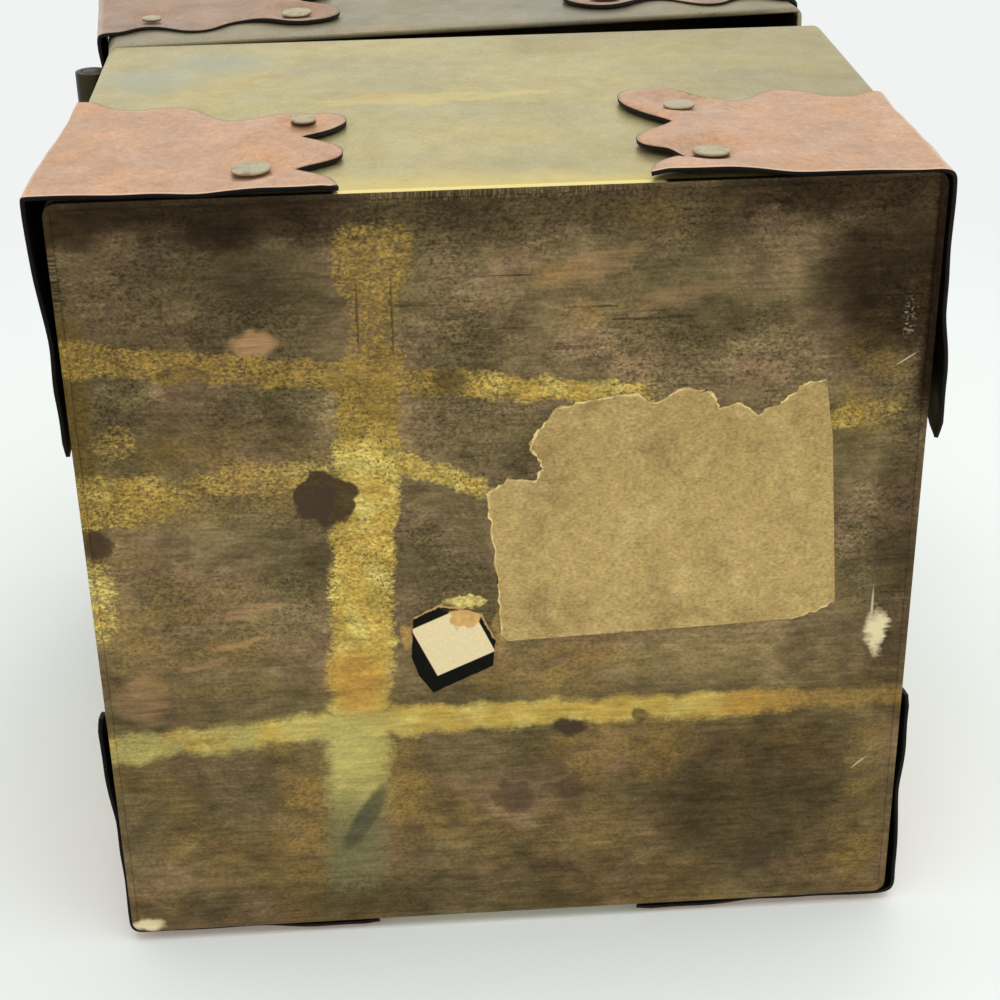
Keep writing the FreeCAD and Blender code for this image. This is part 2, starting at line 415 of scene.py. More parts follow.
def tarnish(place, x, y, grain):
    """The brown ground of the base: darkest along its upper edge, pitted, brushed and filed."""
    umber = colour(40, 27, 11)
    ash = colour(121, 104, 71)
    bronze = colour(114, 94, 56)
    olive = colour(97, 86, 54)
    plum = colour(127, 103, 76)
    sand = colour(152, 131, 86)
    wander = (cloud(place, 9, 4, seed=21) - 0.5) * 14
    tint = mix(ash, bronze, ramp(x + wander, 4, 26))
    tint = mix(tint, plum, ramp(cloud(place, 12, 6, (1, 0.8, 1), 7), 0.47, 0.57) * 0.6)
    tint = mix(tint, olive, ramp(cloud(place, 14, 6, (1, 0.7, 1), 2), 0.46, 0.56) * 0.7)
    tint = mix(tint, umber, ramp(cloud(place, 9, 6, (1, 0.8, 1), 23), 0.53, 0.62) * 0.2)
    tint = mix(tint, ash, ramp(cloud(place, 7, 6, (1, 0.7, 1), 24), 0.54, 0.63) * 0.3)
    tint = mix(tint, sand, spot(x, y + wander * 0.5, (11.5, -25), (4, 13), 0.9) * 0.6)
    shade = ramp(x + wander * 0.7, -41.5, -47) * (0.9 - between(y, -26, 18, 6) * 0.3)
    # Darker along the right edge beside the copper mount: painted shade of the mount.
    shade = shade | ramp(y, -47, -49.2) * ramp(x, -17, -24)
    dim = (
        ((-39, 38), (10, 18), 0.42), ((-22, 36), (5, 14), 0.35), ((-39, -45), (14, 10), 0.85),
        ((0, -48), (28, 4), 0.45), ((33, -32), (13, 18), 0.42), ((47, 30), (4, 24), 0.35),
        ((46, -10), (5, 26), 0.3),
    )
    shade = blots(shade, x + wander * 0.3, y + wander * 0.3, -0.4, 0.8, dim)
    tint = mix(tint, umber, shade)
    tint = vary(tint, cloud(place, 18, 3, seed=34), 1.1)
    tint = vary(tint, cloud(place, 6, 5, (1, 0.7, 1), 3), 0.9)
    tint = vary(tint, cloud(place, 1.4, 4, (1, 0.45, 1), 13), 1.1)
    brushed = cloud(place, 0.4, 3, (1.0, 0.1, 1.0), 4)
    tint = vary(tint, brushed, 1.0)
    for angle, seed in ((0.7, 51.0), (-0.5, 52.0), (-1.1, 53.0)):
        turn = {"Vector": place, "Angle": angle}
        turned = place.node("VectorRotate", {"rotation_type": "Z_AXIS"}, turn)
        hatched = ramp(cloud(place, 10, 2, seed=seed), 0.5, 0.62)
        tint = vary(tint, cloud(turned, 0.24, 2, (1.0, 0.06, 1.0), seed), hatched * 0.6)
    rubbed = spot(x, y, (-37, -5), (6, 18), 0.9)
    strokes = cloud(place, 0.7, 2, (1.0, 0.045, 1.0), 41)
    tint = mix(tint, umber, ramp(strokes, 0.6, 0.68) * rubbed * 0.8)
    combed = cloud(place, 0.16, 0, (1.0, 0.03, 1.0), 15)
    filed = ramp(y, 48.5, 49.2) * between(x, -46, -20, 3)
    filed = filed | ramp(y, -46.5, -48.5) * between(x, -36, -20, 4) * 0.4
    tint = mix(tint, umber, filed * ramp(combed, 0.45, 0.6) * 0.7)
    nicks = ramp(cloud(place, 0.22, 0, (0.03, 1, 1), 16), 0.45, 0.6)
    nicks = ramp(x, -48.5, -49.1) * between(y, -16, 15, 2) * nicks
    tint = mix(tint, sand, nicks * 0.3)
    coarse = ramp(cloud(place, 11, 3, seed=26), 0.38, 0.6) * ramp(x, 16, -4)
    pits = ramp(cloud(place, 0.34, 2, seed=27), 0.6, 0.68)
    tint = mix(tint, umber, pits * (coarse * 0.5 + 0.1))
    return vary(tint, grain, coarse * 1.4 + 1.1), brushed


def bright_metal(place, x, y, grain):
    """Where the base shows bright metal, from 0 to 1: the bands and patches that tape kept."""
    x_here = x + (cloud(place, 4, 4, seed=31) - 0.5) * 3
    y_here = y + (cloud(place, 4, 4, seed=32) - 0.5) * 3
    knob = spot(x, y, (-43.3, 14), (4.0, 12), 0.5)
    neck = between(x, -39, -31, 1.5)
    half = 3.8 + knob * 0.7 - neck * 0.95
    soft = ramp(x, 0, 34) * 1.4 + 0.9
    upright = ramp(abs(y_here - x * 0.0735 - 17.4) - half, soft, 0 - soft)
    upright = upright * ramp(x_here, -48.5, -44)
    upright = upright * (1 - ramp(x, -22, -34) * 0.45 - ramp(x, 24, 36) * 0.3) * ramp(x_here, 49, 41)
    upper = ramp(abs(x_here + y * 0.111 + 26.1) - y * 0.012 - 1.6, 0.6, -0.6)
    upper = upper * ramp(y_here, -19, -15) * (ramp(y, 4, -4) * 0.25 + 0.65)
    sag = (y | 0.0) ** 2.0 * 0.0011
    lower = ramp(abs(x_here - sag - 18.9) - y * 0.006 - 1.85, 1.1, -1.1)
    lower = lower * (1 - ramp(y, -26, -40) * 0.6) * (1 - ramp(y, 26, 36) * 0.35)
    wedge = ramp(abs(x_here + 16.7 + (y - 11.7) * 0.39) - 1.4, 0.6, -0.6)
    wedge = wedge * between(y_here, 2.2, 13.5, 1) * 0.8
    kept = (
        ((-20.6, -40.4), (2.0, 2.6), 0.75), ((-21, -43.5), (1.6, 3.6), 0.35),
        ((-13.4, 45), (3.8, 9), 0.7), ((-15.5, 27), (2.4, 13), 0.5),
        ((0, 49), (7, 2.4), 0.55), ((-20.8, 45), (3, 3), 0.35),
    )
    shown = blots(upright | upper | lower | wedge, x_here, y_here, -0.5, 0.9, kept)
    speckle = (grain - 0.5) * 1.3 + (cloud(place, 0.9, 4, (1, 0.5, 1), 12) - 0.5) * 1.1
    speckle = speckle * (1 - ramp(x, 2, 18) * 0.7)
    return ramp(shown + speckle * ramp(shown, 0.02, 0.4), 0.05, 0.95)


def base_brass():
    """Tarnished brass of the base, with its bright bands and its stains."""
    gold = colour(200, 172, 88)
    straw = colour(216, 198, 116)
    bronze = colour(162, 134, 68)
    ochre = colour(146, 118, 58)
    oil = colour(96, 77, 34)
    lichen = colour(194, 184, 114)
    sage = colour(130, 126, 86)
    amber = colour(194, 155, 78)
    soot = colour(70, 54, 40)
    slate = colour(90, 90, 68)
    rose = colour(184, 144, 100)
    chalk = colour(226, 212, 168)
    inside = colour(76, 62, 38)
    material, shader, place = finish("base_brass")
    x, y, z = axes(place)
    grain = cloud(place, 0.28, 2, (1, 0.65, 1), 6)
    tint, brushed = tarnish(place, x, y, grain)
    bright = bright_metal(place, x, y, grain)
    x_here = x + (cloud(place, 2.4, 4, seed=9) - 0.5) * 3
    y_here = y + (cloud(place, 2.4, 4, seed=10) - 0.5) * 3
    here = x_here, y_here

    yellowed = (
        ((30, 12.8), (10, 3), 0.8), ((-46.8, -18), (2.0, 8), 0.3), ((-39.3, -6.5), (1.4, 4), 0.6),
        ((-34.4, -8.4), (1.8, 3.4), 0.6), ((42, -45), (5, 3), 0.8), ((30, -46), (14, 2.5), 0.5),
        ((25, -14), (5, 9), 0.8), ((12, -6), (4, 10), 0.8), ((6, 38), (9, 10), 0.5),
        ((-24, -43), (8, 4), 0.6), ((2, 45), (10, 5), 0.7), ((-16, 36), (6, 16), 0.6),
    )
    haze = blots(spot(*here, (32, 26), (11, 4), 0.9), *here, -0.9, 0.9, yellowed)
    haze = haze * ramp(cloud(place, 3, 5, (1, 0.5, 1), 28), 0.3, 0.7) * 0.75
    tint = mix(tint, vary(ochre, grain, 2.4), haze)
    oiled = ramp(y_here, 46.6, 48.2) * between(x_here, -37, -6, 3) * 0.8
    tint = mix(tint, vary(oil, grain, 1.6), oiled)

    metal = mix(gold, straw, ramp(cloud(place, 5, 4, seed=14), 0.45, 0.65))
    metal = mix(metal, bronze, ramp(x_here, -17, -24) * (1 - between(y_here, -20, 4, 3) * 0.7))
    metal = mix(metal, bronze, ramp(y_here, 20, 26) * between(x_here, -20, -8, 2) * 0.7)
    warm = spot(*here, (13, 19), (4.5, 3.5), 0.8) | ramp(y_here, -22, -30) * ramp(x, 5, 10)
    metal = mix(metal, amber, warm)
    metal = mix(metal, lichen, ramp(x_here, 16.5, 19) * between(y_here, 14, 26, 4) * 0.8)
    mossy = ramp(cloud(place, 7, 3, seed=29), 0.4, 0.55) * 0.8
    metal = mix(metal, lichen, ramp(y_here, 24, 34) * ramp(x_here, 14, 18) * mossy)
    metal = mix(metal, sage, ramp(x_here, 27, 36) * between(y_here, 13, 28, 2))
    wedge = spot(x - (y - 18.6) * 1.4, y, (33.6, 18.6), (2.4, 3.2), 0.6)
    metal = mix(metal, slate, wedge * 0.85)
    calm = ramp(x, 2, 18)
    metal = vary(metal, cloud(place, 2.2, 4, (1, 0.5, 1), 17), 1.2 - calm * 0.5)
    metal = vary(metal, brushed, 0.8)
    metal = vary(metal, grain, 2.0 - calm * 1.4)
    pits = ramp(cloud(place, 0.28, 2, seed=18), 0.55, 0.63)
    pits = pits * ramp(cloud(place, 8, 3, seed=19), 0.36, 0.6)
    metal = mix(metal, soot, pits * ramp(x, 10, 0) * 0.7)
    tint = mix(tint, metal, bright)

    stained = (
        ((21.1, -7.7), (1.4, 2.3), 1.0), ((20.0, -16.5), (1.1, 1.2), 0.75),
        ((-7.6, 48.3), (1.9, 1.7), 0.9), ((31.5, -0.3), (2.4, 2.8), 0.65),
        ((30.5, -7.7), (2.0, 2.2), 0.6), ((27.5, -3.5), (1.8, 4.0), 0.4),
        ((42.9, -32.2), (2.6, 2.2), 0.5), ((-27.2, 6.2), (1.7, 1.7), 0.6),
        ((-27.9, 36.4), (2.2, 2.6), 0.42), ((11.5, -36), (3.0, 2.6), 0.5),
        ((38, 12.5), (3.4, 2.4), 0.4),
    )
    stains = blots(spot(*here, (-12.6, 21.3), (3.5, 3.8), 0.15), *here, -0.5, 0.5, stained)
    ring = between(oval(*here, (-28.3, 36.3), (2.2, 2.6)), -0.2, 0.25, 0.15) * 0.5
    y_rough = y + grain * 0.5
    seams = spot(x, y_rough, (-35.5, 12.8), (5, 0.16), 0.6)
    seams = seams | spot(x, y_rough, (-35.5, 16.7), (4.5, 0.16), 0.6)
    tint = mix(tint, soot, (stains | ring | seams * 0.7) * 0.92)
    blush = spot(*here, (-32.6, 28.2), (1.5, 2.5), 0.8)
    for centre, radii, strength in (
        ((-40.5, -10), (1.6, 6.0), 0.4), ((-36.5, -20), (1.2, 6.0), 0.3),
        ((2.2, 31), (0.8, 4.0), 0.7), ((6.8, 33.4), (0.6, 3.0), 0.7),
        ((9.6, 37), (0.5, 3.0), 0.5), ((14, 45), (4.0, 3.0), 0.4),
    ):
        leaning = x_here - (y - centre[1]) * 0.25
        blush = blush | spot(leaning, y_here, centre, radii, 0.7) * strength
    tint = mix(tint, rose, blush * (brushed * 1.3 - 0.05))
    glue = spot(*here, (6.8, 12.6), (1.5, 0.9), 0.6)
    glue = glue | spot(*here, (6.8, 1.0), (3.4, 0.6), 0.5) * 0.7
    tint = mix(tint, vary(amber, grain, 2.0), glue * 0.5)
    crust = spot(x_here + grain, y_here, (2.6, 5.0), (0.8, 2.3), 0.5)
    tint = mix(tint, vary(straw, grain, 2.0), crust * 0.8)
    scuffs = spot(x_here + grain * 2, y_here + brushed * 1.5, (10.4, -45.3), (3.0, 1.1), 0.95) * 0.95
    scuffs = scuffs | spot(x, y, (6.5, -45.2), (3.4, 0.16), 0.8) * 0.6
    scuffs = scuffs | spot(*here, (-33, -46.8), (2.4, 0.8), 0.8) * ramp(grain, 0.5, 0.7) * 0.35
    scuffs = scuffs | spot(x - y * 0.65, y, (2.9, -46.8), (0.12, 1.2), 0.5) * 0.5
    scuffs = scuffs | spot(x - y * 0.9, y, (69.5, -45.1), (0.14, 0.9), 0.5) * 0.6
    scuffs = scuffs | spot(*here, (48.9, 48), (0.8, 2.0), 0.95) * 0.85
    tint = mix(tint, chalk, scuffs)
    inside = vary(vary(inside, cloud(place, 7, 6, seed=30), 1.6), grain, 0.8)
    # The inner face of the plate is painted dark brown: painted shade.
    tint = mix(tint, inside, ramp(z, 0.5, 0.9))
    roughness = 0.54 - bright * 0.12 + (grain - 0.5) * 0.3
    normal = relief(brushed * 0.4 + grain * 0.6, 0.05)
    feed(shader, tint, roughness, normal, metallic=bright * 0.25 + 0.15, gloss=0.2)
    return material


base_metal = base_brass()
base_plate = sheet_plate("wavy_base_plate", base_low, base_high, 4.0, base_high.z)
dress(base_plate, base_metal, "body", "brass", "base_plate")

# The ends of the walls were filed with the plate, and have gone brown with it.
body_walls.data.materials.append(base_metal)
for face in body_walls.data.polygons:
    inside = all(abs(part) < body_high.x - worn_edge * 1.5 for part in face.center[:2])
    if face.center.z < worn_edge and (face.normal.z < -0.9 or face.normal.z < -0.3 and inside):
        face.material_index = 1

# Lid
# Walls and top of the same sheet, their brass and copper painted darker and greyer than the body's as
# painted shade. It stands ajar on its hinge, so each piece is made on the closed lid and then swung
# open.

hinge = frame["joints"][0]
hinge_axle = Vector(hinge["pos_m"])
lid_ajar = -math.radians(hinge["range_deg"][0])
swing = (
    Matrix.Translation(hinge_axle)
    @ Matrix.Rotation(lid_ajar, 4, Vector(hinge["axis"]))
    @ Matrix.Translation(-hinge_axle)
)
rim_gap = 0.3 * MM
lid_height = 38.0 * MM
lid_rim = body_high.z + rim_gap
lid_crown = lid_rim + lid_height

# The lid's tints are darker, greyer copies of the body's: painted shade.
shaded_lid_tints = ((164, 152, 122), (150, 143, 124), (176, 158, 112), (128, 108, 78), (64, 52, 33))
shaded_lid_brass = wall_brass("shaded_lid_brass", 31.0, shaded_lid_tints)
lid_low = Vector((body_low.x, body_low.y, lid_rim))
lid_high = Vector((body_high.x, body_high.y, lid_crown))
lid_walls = sheet_walls("dented_lid_walls", lid_low, lid_high, 7.5)
lid_walls.data.transform(swing)
dress(lid_walls, shaded_lid_brass, "lid", "brass", "lid_walls")

top_low = Vector((base_low.x, base_low.y, lid_crown - wall_sheet))
top_high = Vector((base_high.x, base_high.y, lid_crown))
lid_top = sheet_plate("wavy_lid_top", top_low, top_high, 9.0, top_low.z)
lid_top.data.transform(swing)
dress(lid_top, shaded_lid_brass, "lid", "brass", "lid_top")

# Hinge
# Two strips of brass, soldered to the back walls and curled into knuckles round one pin.
# The edges are eased, and the metal is dark all over.

eased_edge = 0.1 * MM
same_point = 0.001 * MM
level_turn = math.radians(0.5)


def copy_of(model, name):
    """A copy of an object, with its own mesh."""
    piece = model.copy()
    piece.data = model.data.copy()
    piece.name = name
    bpy.context.scene.collection.objects.link(piece)
    return piece


def eased_copy(node, name):
    """A copy of a node's mesh, made whole, with its edges eased."""
    piece = copy_of(frame["nodes"][node], name)
    piece.parent = None
    for key in list(piece.keys()):
        del piece[key]
    select_only(piece)
    switch("EDIT")
    bpy.ops.mesh.select_all(action="SELECT")
    bpy.ops.mesh.remove_doubles(threshold=same_point)
    bpy.ops.mesh.dissolve_limited(angle_limit=level_turn)
    switch("OBJECT")
    ease_edges(piece, eased_edge)
    smooth(piece)
    return piece


hinge_tints = ((58, 50, 32), (48, 44, 32), (80, 68, 40), (34, 27, 18), (34, 27, 18))
hinge_brass = wall_brass("hinge_brass", 57.0, hinge_tints)
for node, name, body in (
    ("hinge_leaf_body", "hinge_strip_body", "body"),
    ("hinge_leaf_lid", "hinge_strip_lid", "lid"),
    ("hinge_pin", "hinge_rod", "body"),
):
    dress(eased_copy(node, name), hinge_brass, body, "brass", node)

# Copper corner mounts
# Sheet copper cut with lobed ends and a wavy edge, bent over each corner and riveted.
# Each was cut by hand, and has sprung from the brass a little differently.

copper_sheet = 0.5 * MM
copper_cell = 1.0 * MM
mount_low, mount_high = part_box("body_mount_front_left")
wing_reach = mount_high.x - body_low.x
wing_rise = mount_high.z - mount_low.z
edge_margin = mount_low.z
bend_arc = bend_radius * math.pi / 4
straight_within = 0.01 * MM

# Half of the outline, as shares of the reach and of the rise.
wing_edge = (
    (1.0, 0.0, "sharp"),
    (0.965, 0.1, "round"),
    (0.845, 0.2, "sharp"),
    (1.0, 0.37, "round"),
    (0.845, 0.58, "sharp"),
    (1.0, 0.8, "round"),
    (0.85, 0.955, "round"),
    (0.59, 0.86, "round"),
    (0.38, 1.0, "round"),
    (0.18, 0.91, "round"),
)
# Shares of the reach at which a mount's own cut departs from that outline.
cut_stations = (0.0, 0.18, 0.38, 0.59, 0.85, 1.0)


def along(share):
    """Place along the flat blank, from the middle of the bend, of a share of the reach."""
    return share * wing_reach - bend_radius + bend_arc


def flat_sheet(name, knots, resolution, cuts):
    """A flat face with a given outline, and the outline's runs. Cuts divide each run."""
    curve = bpy.data.curves.new(name, "CURVE")
    curve.dimensions = "2D"
    curve.fill_mode = "NONE"
    curve.resolution_u = resolution
    spline = curve.splines.new("BEZIER")
    spline.bezier_points.add(len(knots) - 1)
    for point, (across, up, kind) in zip(spline.bezier_points, knots):
        point.co = (across, up, 0)
    for point, (across, up, kind) in zip(spline.bezier_points, knots):
        point.handle_left_type = point.handle_right_type = "AUTO" if kind == "round" else "VECTOR"
    spline.use_cyclic_u = True
    sheet = bpy.data.objects.new(name, curve)
    bpy.context.scene.collection.objects.link(sheet)
    select_only(sheet)
    bpy.ops.object.convert(target="MESH")
    sheet = bpy.context.object
    switch("EDIT")
    bpy.ops.mesh.select_all(action="SELECT")
    bpy.ops.mesh.remove_doubles(threshold=same_point)
    if cuts:
        bpy.ops.mesh.subdivide(number_cuts=cuts)
    bpy.ops.mesh.select_all(action="SELECT")
    bpy.ops.mesh.edge_face_add()
    switch("OBJECT")
    outline = [sheet.data.vertices[i].co.copy() for i in sheet.data.polygons[0].vertices]
    return sheet, list(zip(outline, outline[1:] + outline[:1]))


def gap_to_runs(point, runs):
    """Distance of a point from the nearest of some runs of an outline."""
    nearest = 1.0
    for start, end in runs:
        run = end - start
        share = min(1, max(0, (point - start).dot(run) / run.length_squared))
        nearest = min(nearest, (point - start - run * share).length)
    return nearest


def ease(share):
    """Smooth step from 0 to 1."""
    share = min(1, max(0, share))
    return share * share * (3 - 2 * share)


def station_value(share, stations, values):
    """A value between those given at stations."""
    for low, high, first, last in zip(stations, stations[1:], values, values[1:]):
        if share <= high:
            return first + (last - first) * ease((share - low) / (high - low))
    return values[-1]


def copper_blank():
    """The mount before it is bent: flat, cut into small cells. Also the runs of its outline,
    apart from its straight edge."""
    half = [(along(u), v * wing_rise, kind) for u, v, kind in wing_edge]
    knots = half + [(0, wing_rise, "round")] + [(-s, h, kind) for s, h, kind in reversed(half)]
    blank, runs = flat_sheet("copper_blank", knots, 10, 0)
    wing = along(1)
    bend_cuts = [bend_arc * i / 5 for i in range(-5, 6)]
    cut_into_cells(blank, 0, bend_cuts + steps(bend_arc, wing, copper_cell))
    cut_into_cells(blank, 0, steps(-wing, -bend_arc, copper_cell))
    cut_into_cells(blank, 1, steps(0, wing_rise, copper_cell))
    return blank, [run for run in runs if max(point.y for point in run) >= straight_within]


# How each mount was cut and bent: how sharp its bend is, and for each of its two wings the
# stand-off in millimetres at the corner and at the tip of its straight edge and at the corner
# of its wavy edge, its length as a share of the usual one along its straight edge and above,
# and the departures of its cut. The first wing is along X before it is taken to its corner.
plain_cut = (0, 0, 0, 0, 0, 0)
body_fits = {
    "front_left": (
        1.6,
        (0.8, 1.15, 0.1, 0.985, 1.0, (-3.0, -1.0, 0.4, 0.3, 0.6, 0)),
        (0.15, 0.6, 0.3, 1.0, 1.0, (-3.0, -1.3, 0, 0, 2.6, 3.9)),
    ),
    "front_right": (
        1.4,
        (0.5, 0.2, 0.2, 1.0, 1.0, (0.4, 0, 0.5, 0.4, -0.5, 0.3)),
        (1.3, 0.3, 0.2, 0.925, 0.99, (0.4, 0.4, -0.6, 0, 0.6, 0.4)),
    ),
    "back_right": (
        1.2,
        (0.2, 0.35, 0.2, 1.0, 1.0, (-0.5, 0, 0.6, 0, 0.5, 0)),
        (0.2, 0.1, 0.2, 0.97, 1.0, (-0.5, 0.3, 0, -0.4, 0, 0.4)),
    ),
    "back_left": (
        8.0,
        (0.7, 0.05, 1.1, 0.965, 0.99, (1.6, 1.0, -0.7, -1.7, -3.4, -1.2)),
        (2.1, 0.15, 0.2, 0.91, 0.99, (1.6, 0.6, 0, 0, -0.6, 0)),
    ),
}
lid_fits = {
    "front_left": (
        1.5,
        (0.4, 0.5, 0.4, 1.0, 1.0, (0.3, 0, 0.4, 0, 0.4, 0)),
        (0.5, 0.4, 0.4, 1.0, 1.0, (0.3, 0.3, 0, 0, 0, 0.3)),
    ),
    "front_right": (1.5, (0.5, 0.4, 0.3, 1.0, 1.0, plain_cut), (0.4, 0.6, 0.3, 1.0, 1.0, plain_cut)),
    "back_right": (1.2, (0.3, 0.5, 0.3, 1.0, 1.0, plain_cut), (0.5, 0.3, 0.3, 1.0, 1.0, plain_cut)),
    "back_left": (
        3.0,
        (1.3, 0.4, 1.4, 1.0, 1.0, (-1.6, -0.8, 0.5, 0, 0, 0)),
        (0.4, 0.4, 0.4, 1.0, 1.0, (-1.6, -1.4, -1.2, -1.0, -0.6, 0)),
    ),
}
# Rivets of a wing: shares of its reach and of its rise, and size.
rivet_shares = {
    ("body", "back_left", 0): ((0.671, 0.222, 1.0), (0.835, 0.772, 0.7)),
    ("body", "front_left", 1): ((0.76, 0.24, 1.0), (0.787, 0.8, 0.9)),
}
usual_rivets = ((0.715, 0.24, 1.0), (0.812, 0.795, 1.0))
lid_corner_rivet = (0.19, 0.755, 0.62)
lobe_swell = 0.7
dent_swell = 0.14
copper_dent_size = 6 * MM
rivet_seat = 2.2 * MM
rivet_grip = 3.0 * MM
rim_lift = 0.75
rim_width = 1.8 * MM
least_gap = 0.05
cut_edge = 0.14 * MM


def rivets_of(body, corner, wing):
    """Where a wing's rivets sit, and their sizes."""
    places = rivet_shares.get((body, corner, wing), usual_rivets)
    return places + (lid_corner_rivet,) if body == "lid" else places


def bend_mount(name, blank, runs, body, corner, fit, seed):
    """A mount bent over a corner on the Z axis. Its attributes are how far, in millimetres, each
    point lies from the cut edge, from its straight part (foot) and from the bend (fold), and
    whether it is on the inner side."""
    piece = copy_of(blank, name)
    edge, foot, fold = [], [], []
    wing = along(1)
    tightness, *wings = fit
    pins = [
        Vector((along(u) * side, v * wing_rise, 0))
        for index, side in enumerate((1, -1))
        for u, v, _ in rivets_of(body, corner, index)
    ]

    def stand_off(index, out, height):
        corner_low, tip_low, corner_high = wings[index][:3]
        at_corner = corner_low + (corner_high - corner_low) * ease(height)
        at_tip = tip_low * (1 - 0.9 * ease(height))
        return at_corner + (at_tip - at_corner) * ease(out * 1.1)

    for point in piece.data.vertices:
        flat = point.co.copy()
        s, h = flat.x, flat.y
        out, height = abs(s) / wing, h / wing_rise
        index = 0 if s > 0 else 1
        short, full, cut = wings[index][3:]
        rim = gap_to_runs(flat, runs)
        fold.append(abs(s) / MM)
        foot.append(h / MM)
        edge.append(min(rim, h) / MM)
        lobe = lobe_swell * ease((out - 0.5) / 0.25)
        held = min(ease(((flat - pin).length - rivet_seat) / rivet_grip) for pin in pins)
        curl = rim_lift + (1 - rim_lift) * ease(rim / rim_width)
        dent = dent_swell * (noise.noise(Vector((s, h, seed * MM)) / copper_dent_size) + 0.5)
        rise = h + station_value(out, cut_stations, cut) * MM * ease((height - 0.5) / 0.35)
        if abs(s) < bend_arc:
            lifts = [(stand_off(i, 0, height) + dent + least_gap) * MM for i in (0, 1)]
            start, end = Vector((-lifts[1], bend_radius, 0)), Vector((bend_radius, -lifts[0], 0))
            apex = Vector((-lifts[1], -lifts[0], 0))
            t = (s / bend_arc + 1) / 2
            pull = 2 * tightness * t * (1 - t)
            bent = (start * (1 - t) ** 2 + apex * pull + end * t**2) / ((1 - t) ** 2 + pull + t**2)
        else:
            bulge = (stand_off(index, out, height) + lobe + dent) * (0.1 + 0.9 * held)
            fade = curl if out > 0.3 else 1 - (1 - curl) * ease(out / 0.3)
            lift = (bulge * fade + least_gap) * MM
            reach = bend_radius + (abs(s) - bend_arc) * (short + (full - short) * ease(height * 1.4))
            bent = Vector((-lift, reach, 0)) if index else Vector((reach, -lift, 0))
        point.co = bent + Vector((0, 0, edge_margin + rise))
    carry(piece, "edge", edge)
    carry(piece, "foot", foot)
    carry(piece, "fold", fold)
    inner_points = len(piece.data.vertices)
    apply(piece, "SOLIDIFY", thickness=copper_sheet, offset=1, use_even_offset=True)
    carry(piece, "inner", [float(point.index < inner_points) for point in piece.data.vertices])
    ease_edges(piece, cut_edge)
    smooth(piece)
    return piece


def mount_copper(name, tints):
    """Worn copper: brown in its pits, darker along its cut edges as painted shade with some grime,
    bright along its bend and its straight edge as bare wear with a painted highlight, and black behind
    and on its cut edges as painted shade with dark oxide."""
    pink, orange, mauve, brown, worn_and_highlight = (colour(*tint) for tint in tints)
    black = colour(16, 12, 9)
    material, shader, place = finish(name)
    edge = note(place, "edge")
    foot = note(place, "foot")
    grit = cloud(place, 0.5, 3, seed=5)
    tint = mix(pink, orange, ramp(cloud(place, 10, 4, seed=1), 0.46, 0.68) * 0.6)
    tint = mix(tint, mauve, ramp(cloud(place, 15, 5, seed=6), 0.46, 0.68) * 0.6)
    tint = vary(tint, cloud(place, 5, 5, seed=3), 0.55)
    tint = vary(tint, cloud(place, 1.2, 4, seed=9), 0.45)
    tint = vary(tint, grit, 0.5)
    pits = ramp(cloud(place, 0.6, 3, seed=8), 0.68, 0.75)
    tint = mix(tint, brown, pits * 0.6)
    # Darker along the cut edges: painted shade with some grime.
    grime_and_shade = ramp(edge + (grit - 0.5) * 0.6, 0.5, 0.15) * ramp(foot, 0.8, 1.4)
    tint = mix(tint, brown, grime_and_shade * 0.35)
    # Bright along the bend and the straight edge: bare wear with a painted highlight.
    patchy = (cloud(place, 1.4, 3) - 0.5) * 1.2
    bare = ramp(note(place, "fold") + patchy * 0.3, 0.7, 0.35) * 0.8
    bare = ramp(foot + patchy * 0.5, 0.7, 0.3) | bare
    tint = mix(tint, worn_and_highlight, bare * 0.7)
    # Black on the cut edges and the back of the sheet: painted shade with dark oxide.
    side = ramp(edge, 0.06, 0.01) | ramp(note(place, "inner"), 0.3, 0.7)
    tint = mix(tint, black, side)
    roughness = (cloud(place, 5, 5, seed=2) - 0.5) * 0.4 + 0.4 - bare * 0.1 + side * 0.3
    normal = relief(cloud(place, 3, 3, seed=11) + grit * 0.12 - pits * 0.3, 0.07)
    feed(shader, tint, roughness, normal, metallic=0.8 - side * 0.5)
    return material


turns = {"front_left": 0, "front_right": 90, "back_right": 180, "back_left": 270}
turned_over = Matrix.Translation((0, 0, lid_crown)) @ Matrix.Rotation(math.pi, 4, Vector((1, 1, 0)))


def corner_place(corner):
    """Takes a shape from the Z axis to a corner of the body."""
    corner_x = body_low.x if corner.endswith("left") else body_high.x
    corner_y = body_low.y if corner.startswith("front") else body_high.y
    turn = Matrix.Rotation(math.radians(turns[corner]), 4, "Z")
    return Matrix.Translation((corner_x, corner_y, 0)) @ turn


def lid_place(corner):
    """Turns a shape over and takes it to a corner of the open lid."""
    return swing @ corner_place(corner) @ turned_over


body_copper = mount_copper(
    "body_copper", ((210, 166, 132), (214, 164, 122), (199, 162, 136), (118, 82, 60), (238, 200, 166))
)
# The lid's copper is a darker copy of the body's: painted shade.
shaded_lid_copper = mount_copper(
    "shaded_lid_copper", ((176, 142, 116), (180, 140, 104), (154, 130, 116), (96, 68, 52), (196, 164, 138))
)
blank, shaped_runs = copper_blank()
for number, corner in enumerate(turns):
    for body, fits, copper, place, seed in (
        ("body", body_fits, body_copper, corner_place(corner), number),
        ("lid", lid_fits, shaded_lid_copper, lid_place(corner), number + 10),
    ):
        name = f"{body}_copper_{corner}"
        mount = bend_mount(name, blank, shaped_runs, body, corner, fits[corner], seed)
        mount.data.transform(place)
        dress(mount, copper, body, "copper", f"{body}_mount_{corner}")
bpy.data.objects.remove(blank)

# Rivets
# Short lengths of brass wire through copper and brass, hammered into flat thin heads outside
# and peened over inside. The lid has a smaller one on each wing, close to the corner.

head_radius = 2.15 * MM
head_height = 0.4 * MM
head_edge = 0.1 * MM
head_sink = 0.06 * MM
